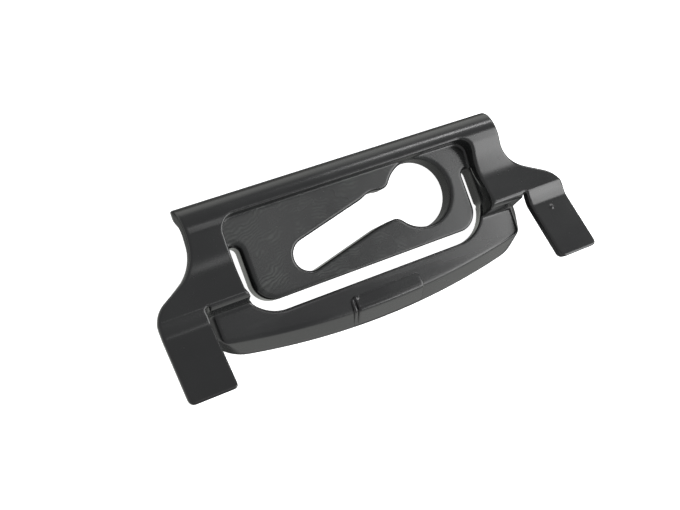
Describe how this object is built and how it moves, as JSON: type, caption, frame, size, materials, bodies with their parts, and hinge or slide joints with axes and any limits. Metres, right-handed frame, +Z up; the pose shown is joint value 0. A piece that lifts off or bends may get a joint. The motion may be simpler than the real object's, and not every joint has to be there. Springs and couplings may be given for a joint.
{
  "type": "trim retaining clip",
  "caption": "Moulded plastic trim retaining clip: rolled rail, sprung plate with a keyhole for a headed stud, flared shoulders with spring legs, and a curved spring bow with a raised pad.",
  "frame": {"origin": "middle of the clip's length and depth, on the plane that the bow and its feet lie on", "axes": "+X along the clip towards the round end of the keyhole, +Y towards the rolled rail, +Z up out of the visible face"},
  "size_m": [0.063, 0.0236, 0.0085],
  "materials": {
    "black_plastic": "semi-gloss moulded charcoal black"
  },
  "bodies": {
    "frame": {"top_rail": "black_plastic", "left_shoulder": "black_plastic", "right_shoulder": "black_plastic", "left_side_wall": "black_plastic", "right_side_wall": "black_plastic", "left_web": "black_plastic", "right_web": "black_plastic", "left_bow_foot": "black_plastic", "right_bow_foot": "black_plastic"},
    "tongue": {"stud_plate": "black_plastic"},
    "bow": {"spring_bow": "black_plastic", "bow_pad": "black_plastic"},
    "left_leg_blade": {"left_leg": "black_plastic"},
    "right_leg_blade": {"right_leg": "black_plastic"}
  },
  "joints": [
    {"name": "tongue_flex", "type": "hinge", "parent": "frame", "child": "tongue", "pos_m": [0, 0.0096, 0.0017], "axis": [1, 0, 0], "range_deg": [-4, 4], "stiffness_Nm_per_rad": 0.05},
    {"name": "left_leg_flex", "type": "hinge", "parent": "frame", "child": "left_leg_blade", "pos_m": [-0.0282, -0.00275, 0.00462], "axis": [1, 0, 0], "range_deg": [-6, 6], "stiffness_Nm_per_rad": 0.02},
    {"name": "right_leg_flex", "type": "hinge", "parent": "frame", "child": "right_leg_blade", "pos_m": [0.0282, -0.00275, 0.00462], "axis": [1, 0, 0], "range_deg": [-6, 6], "stiffness_Nm_per_rad": 0.02},
    {"name": "bow_flex", "type": "slide", "parent": "frame", "child": "bow", "axis": [0, 1, 0], "range_m": [0, 0.001], "stiffness_N_per_m": 200}
  ]
}
